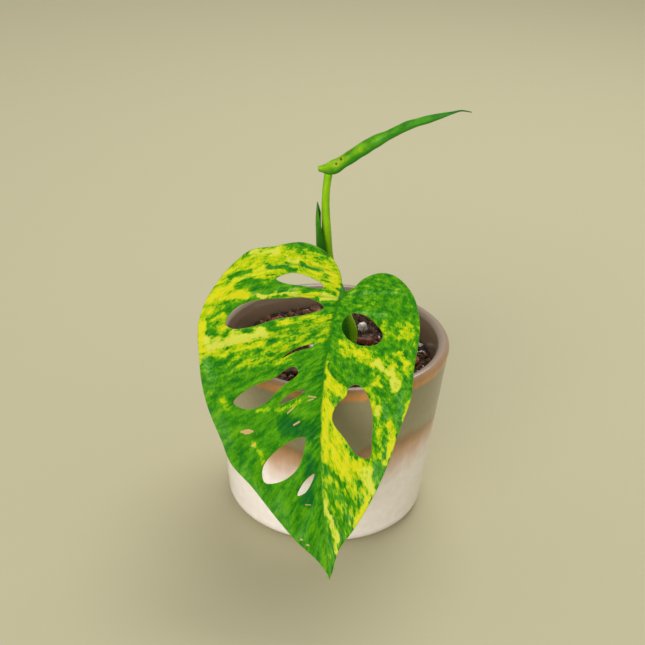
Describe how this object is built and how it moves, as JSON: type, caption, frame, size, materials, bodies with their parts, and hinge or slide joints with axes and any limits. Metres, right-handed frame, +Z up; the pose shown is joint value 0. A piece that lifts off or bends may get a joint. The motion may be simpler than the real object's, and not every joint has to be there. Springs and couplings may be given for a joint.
{
  "type": "potted monstera plant",
  "caption": "Young variegated monstera with one holed heart-shaped leaf and a rolled new leaf, in a small round glazed stoneware pot filled with bark mix.",
  "frame": {"origin": "centre of the pot's flat base, on the surface that it stands on", "axes": "+Z up along the pot's axis, -Y towards the side where the mature leaf hangs, +X to the right of that side"},
  "size_m": [0.1167, 0.1701, 0.2112],
  "materials": {
    "glazed_stoneware": "satin reactive glaze, taupe above, tan band, off-white below",
    "potting_mix": "dark crumbly bark and coir mix, matt",
    "bark": "rough brown bark flakes, matt",
    "perlite": "porous off-white perlite, matt",
    "green_stem": "smooth dark green stem with a waxy skin",
    "young_petiole": "smooth bright lime stalk, slightly translucent",
    "variegated_leaf": "waxy leaf, green with yellow and lime variegation",
    "young_leaf": "smooth fresh green rolled leaf"
  },
  "bodies": {
    "root": {"bark_chip_01": "bark", "bark_chip_02": "bark", "bark_chip_03": "bark", "bark_chip_04": "bark", "bark_chip_05": "bark", "bark_chip_06": "bark", "bark_chip_07": "bark", "bark_chip_08": "bark", "bark_chip_09": "bark", "bark_chip_10": "bark", "bark_chip_11": "bark", "bark_chip_12": "bark", "bark_chip_13": "bark", "bark_chip_14": "bark", "bark_chip_15": "bark", "bark_chip_16": "bark", "bark_chip_17": "bark", "bark_chip_18": "bark", "bark_chip_19": "bark", "mature_leaf_blade": "variegated_leaf", "mature_leaf_petiole": "green_stem", "new_leaf_petiole": "young_petiole", "new_leaf_roll": "young_leaf", "perlite_01": "perlite", "perlite_02": "perlite", "perlite_03": "perlite", "perlite_04": "perlite", "perlite_05": "perlite", "perlite_06": "perlite", "perlite_07": "perlite", "perlite_08": "perlite", "perlite_09": "perlite", "perlite_10": "perlite", "perlite_11": "perlite", "pot": "glazed_stoneware", "potting_mix": "potting_mix", "stem": "green_stem"}
  },
  "joints": []
}
